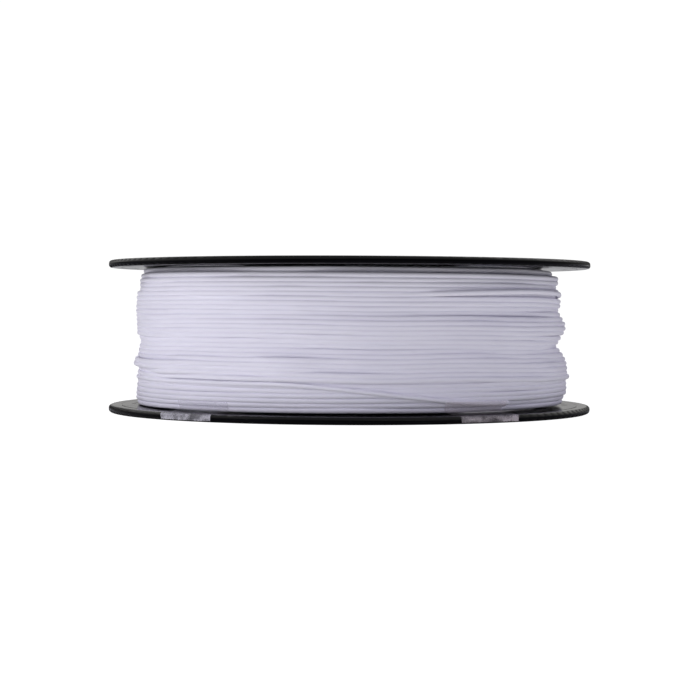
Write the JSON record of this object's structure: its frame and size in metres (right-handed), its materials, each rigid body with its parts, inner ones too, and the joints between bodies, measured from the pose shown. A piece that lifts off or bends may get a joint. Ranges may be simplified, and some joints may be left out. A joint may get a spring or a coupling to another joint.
{
  "type": "filament spool",
  "caption": "Flanged plastic reel with a hollow core, wound with a coil of plastic filament whose free end is taped to the lower flange.",
  "frame": {"origin": "centre of the bore, halfway between the two flanges' outer faces", "axes": "+Z along the bore axis towards the upper flange; -Y is the front, where the tapes are on either side"},
  "size_m": [0.2, 0.2, 0.0624],
  "materials": {
    "reel_plastic": "black moulded plastic, semi-gloss",
    "core_plastic": "black moulded plastic, satin",
    "filament": "white filament with a slight lavender tint, glossy",
    "clear_tape": "clear adhesive film, wrinkled",
    "label_paper": "coated paper label without text"
  },
  "bodies": {
    "wound_core": {"lower_flange": "reel_plastic", "winding_core": "core_plastic", "lower_snap_fingers": "core_plastic", "upper_snap_fingers": "core_plastic", "filament_coil": "filament", "filament_last_turn": "filament", "filament_inner_end": "filament", "tape_left": "clear_tape", "tape_right": "clear_tape", "lower_label": "label_paper"},
    "upper_side": {"upper_flange": "reel_plastic", "upper_label": "label_paper"}
  },
  "joints": [
    {"name": "upper_flange_pull", "type": "slide", "parent": "wound_core", "child": "upper_side", "axis": [0, 0, 1], "range_m": [0, 0.05], "deforming": ["upper_snap_fingers"]}
  ]
}
